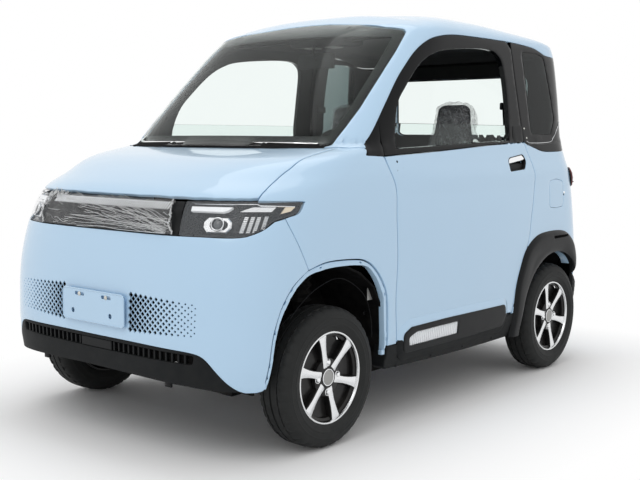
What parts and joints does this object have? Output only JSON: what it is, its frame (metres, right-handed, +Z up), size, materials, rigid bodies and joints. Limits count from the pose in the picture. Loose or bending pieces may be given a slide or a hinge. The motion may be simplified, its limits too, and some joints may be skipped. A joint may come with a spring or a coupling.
{
  "type": "enclosed mobility scooter",
  "caption": "Enclosed four-wheel mobility scooter with a closed cabin, opening side doors, tailgate and bonnet, steered front wheels and free-rolling wheels on alloy rims.",
  "frame": {"origin": "on the ground under the middle of the vehicle's length and width", "axes": "+Z up, -Y towards the front, +X towards the vehicle's left side"},
  "size_m": [1.4346, 2.56, 1.648],
  "materials": {
    "body_paint": "gloss light blue paint",
    "gloss_black": "piano black",
    "black_plastic": "fine-grained black plastic",
    "headlamp": "clear cover over black and chrome",
    "tail_lamp": "dark red lens",
    "glass": "clear glass with a grey tint",
    "tyre": "matt black rubber",
    "alloy": "machined face with black pockets",
    "chassis_steel": "black chassis paint",
    "cabin_trim": "dark grey grained plastic",
    "seat_cover": "dark seat cover under clear plastic film"
  },
  "bodies": {
    "chassis": {"nose_panel": "body_paint", "lower_grille": "black_plastic", "grille_bar": "gloss_black", "headlamp_left": "headlamp", "headlamp_right": "headlamp", "front_wing_left": "body_paint", "front_wing_right": "body_paint", "plate_bracket": "body_paint", "windscreen": "glass", "roof": "body_paint", "sail_left": "gloss_black", "sail_right": "gloss_black", "quarter_window_left": "gloss_black", "quarter_window_right": "gloss_black", "rear_quarter_left": "body_paint", "rear_quarter_right": "body_paint", "rear_bumper": "body_paint", "tail_lamp_left": "tail_lamp", "tail_lamp_right": "tail_lamp", "rear_flare_left": "black_plastic", "rear_flare_right": "black_plastic", "sill_left": "black_plastic", "sill_right": "black_plastic", "floor_pan": "cabin_trim", "rear_tub": "black_plastic", "battery_box": "black_plastic", "front_tub": "black_plastic", "chassis_frame": "chassis_steel", "rear_axle": "chassis_steel", "dashboard": "cabin_trim", "driver_seat": "seat_cover", "passenger_seat": "seat_cover", "rear_bench": "seat_cover"},
    "knuckle_left": {"knuckle_left": "chassis_steel"},
    "knuckle_right": {"knuckle_right": "chassis_steel"},
    "wheel_front_left": {"front_tyre_left": "tyre", "front_rim_left": "alloy"},
    "wheel_front_right": {"front_tyre_right": "tyre", "front_rim_right": "alloy"},
    "wheel_rear_left": {"rear_tyre_left": "tyre", "rear_rim_left": "alloy"},
    "wheel_rear_right": {"rear_tyre_right": "tyre", "rear_rim_right": "alloy"},
    "door_left": {"door_left": "body_paint", "door_frame_left": "gloss_black", "door_glass_left": "glass", "door_plate_left": "black_plastic"},
    "door_right": {"door_right": "body_paint", "door_frame_right": "gloss_black", "door_glass_right": "glass", "door_plate_right": "black_plastic"},
    "tailgate": {"tailgate": "body_paint", "tailgate_glass": "glass"},
    "bonnet": {"bonnet": "body_paint"},
    "charge_lid": {"charge_lid": "body_paint"},
    "steering_wheel": {"steering_wheel": "cabin_trim"}
  },
  "joints": [
    {"name": "steer_left", "type": "hinge", "parent": "chassis", "child": "knuckle_left", "pos_m": [0.525, -0.77, 0.254], "axis": [0, 0, 1], "range_deg": [-32, 32]},
    {"name": "steer_right", "type": "hinge", "parent": "chassis", "child": "knuckle_right", "pos_m": [-0.525, -0.77, 0.254], "axis": [0, 0, 1], "range_deg": [-32, 32]},
    {"name": "steering_wheel_turn", "type": "hinge", "parent": "chassis", "child": "steering_wheel", "pos_m": [0.32, -0.205, 0.985], "axis": [0, 0.848, 0.5299], "range_deg": [-450, 450]},
    {"name": "front_left_spin", "type": "hinge", "parent": "knuckle_left", "child": "wheel_front_left", "pos_m": [0.627, -0.77, 0.254], "axis": [1, 0, 0], "continuous": true},
    {"name": "front_right_spin", "type": "hinge", "parent": "knuckle_right", "child": "wheel_front_right", "pos_m": [-0.627, -0.77, 0.254], "axis": [1, 0, 0], "continuous": true},
    {"name": "rear_left_spin", "type": "hinge", "parent": "chassis", "child": "wheel_rear_left", "pos_m": [0.627, 0.9, 0.254], "axis": [1, 0, 0], "continuous": true},
    {"name": "rear_right_spin", "type": "hinge", "parent": "chassis", "child": "wheel_rear_right", "pos_m": [-0.627, 0.9, 0.254], "axis": [1, 0, 0], "continuous": true},
    {"name": "door_left_open", "type": "hinge", "parent": "chassis", "child": "door_left", "pos_m": [0.72, -0.446, 0.7], "axis": [0, 0, -1], "range_deg": [0, 65]},
    {"name": "door_right_open", "type": "hinge", "parent": "chassis", "child": "door_right", "pos_m": [-0.72, -0.446, 0.7], "axis": [0, 0, 1], "range_deg": [0, 65]},
    {"name": "tailgate_lift", "type": "hinge", "parent": "chassis", "child": "tailgate", "pos_m": [0, 1.168, 1.494], "axis": [1, 0, 0], "range_deg": [0, 75]},
    {"name": "bonnet_lift", "type": "hinge", "parent": "chassis", "child": "bonnet", "pos_m": [0, -0.644, 1.082], "axis": [-1, 0, 0], "range_deg": [0, 50]},
    {"name": "charge_lid_open", "type": "hinge", "parent": "chassis", "child": "charge_lid", "pos_m": [0.702, 0.8245, 0.845], "axis": [0, 0, -1], "range_deg": [0, 100]}
  ],
  "couplings": [
    {"joint": "steer_right", "follows": "steer_left", "ratio": 1},
    {"joint": "steering_wheel_turn", "follows": "steer_left", "ratio": 14}
  ]
}
